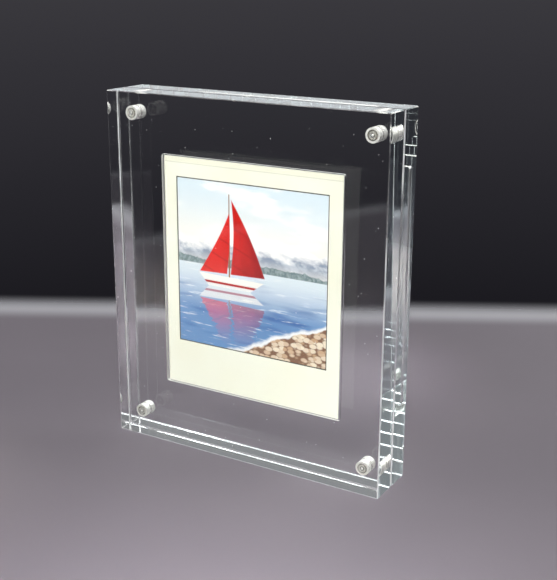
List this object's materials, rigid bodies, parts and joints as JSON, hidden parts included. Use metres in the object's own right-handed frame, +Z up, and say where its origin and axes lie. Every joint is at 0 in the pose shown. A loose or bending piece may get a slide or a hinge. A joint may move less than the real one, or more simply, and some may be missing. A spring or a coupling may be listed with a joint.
{
  "type": "acrylic block frame",
  "caption": "Free-standing clear acrylic block frame: a front block pulls off the magnets of a rear block whose shallow milled pocket holds a square instant print.",
  "frame": {"origin": "centre of the base, midway between the front and rear faces, on the surface it stands on", "axes": "+X to the viewer's right, +Y from the front face towards the rear face, +Z up"},
  "size_m": [0.111, 0.0206, 0.131],
  "materials": {
    "clear_acrylic": "clear cast acrylic with polished faces and edges, frosted where it is milled or drilled",
    "nickel_plate": "bright nickel plating",
    "clear_glue": "cured clear adhesive",
    "print_back": "matt white card",
    "picture": "glossy colour picture",
    "print_border": "smooth warm white"
  },
  "bodies": {
    "rear": {"rear_block": "clear_acrylic", "rear_magnet_top_left": "nickel_plate", "rear_magnet_top_right": "nickel_plate", "rear_magnet_bottom_left": "nickel_plate", "rear_magnet_bottom_right": "nickel_plate", "rear_glue_top_left": "clear_glue", "rear_glue_top_right": "clear_glue", "rear_glue_bottom_left": "clear_glue", "rear_glue_bottom_right": "clear_glue"},
    "front": {"front_block": "clear_acrylic", "front_magnet_top_left": "nickel_plate", "front_magnet_top_right": "nickel_plate", "front_magnet_bottom_left": "nickel_plate", "front_magnet_bottom_right": "nickel_plate", "front_glue_top_left": "clear_glue", "front_glue_top_right": "clear_glue", "front_glue_bottom_left": "clear_glue", "front_glue_bottom_right": "clear_glue"},
    "print": {"print_backing": "print_back", "print_picture": "picture", "print_border": "print_border"}
  },
  "joints": [
    {"name": "front_pull", "type": "slide", "parent": "rear", "child": "front", "axis": [0, -1, 0], "range_m": [0, 0.06]},
    {"name": "print_lift", "type": "slide", "parent": "rear", "child": "print", "axis": [0, -1, 0], "range_m": [0, 0.03]}
  ],
  "couplings": [
    {"joint": "print_lift", "follows": "front_pull", "ratio": 0.5}
  ]
}
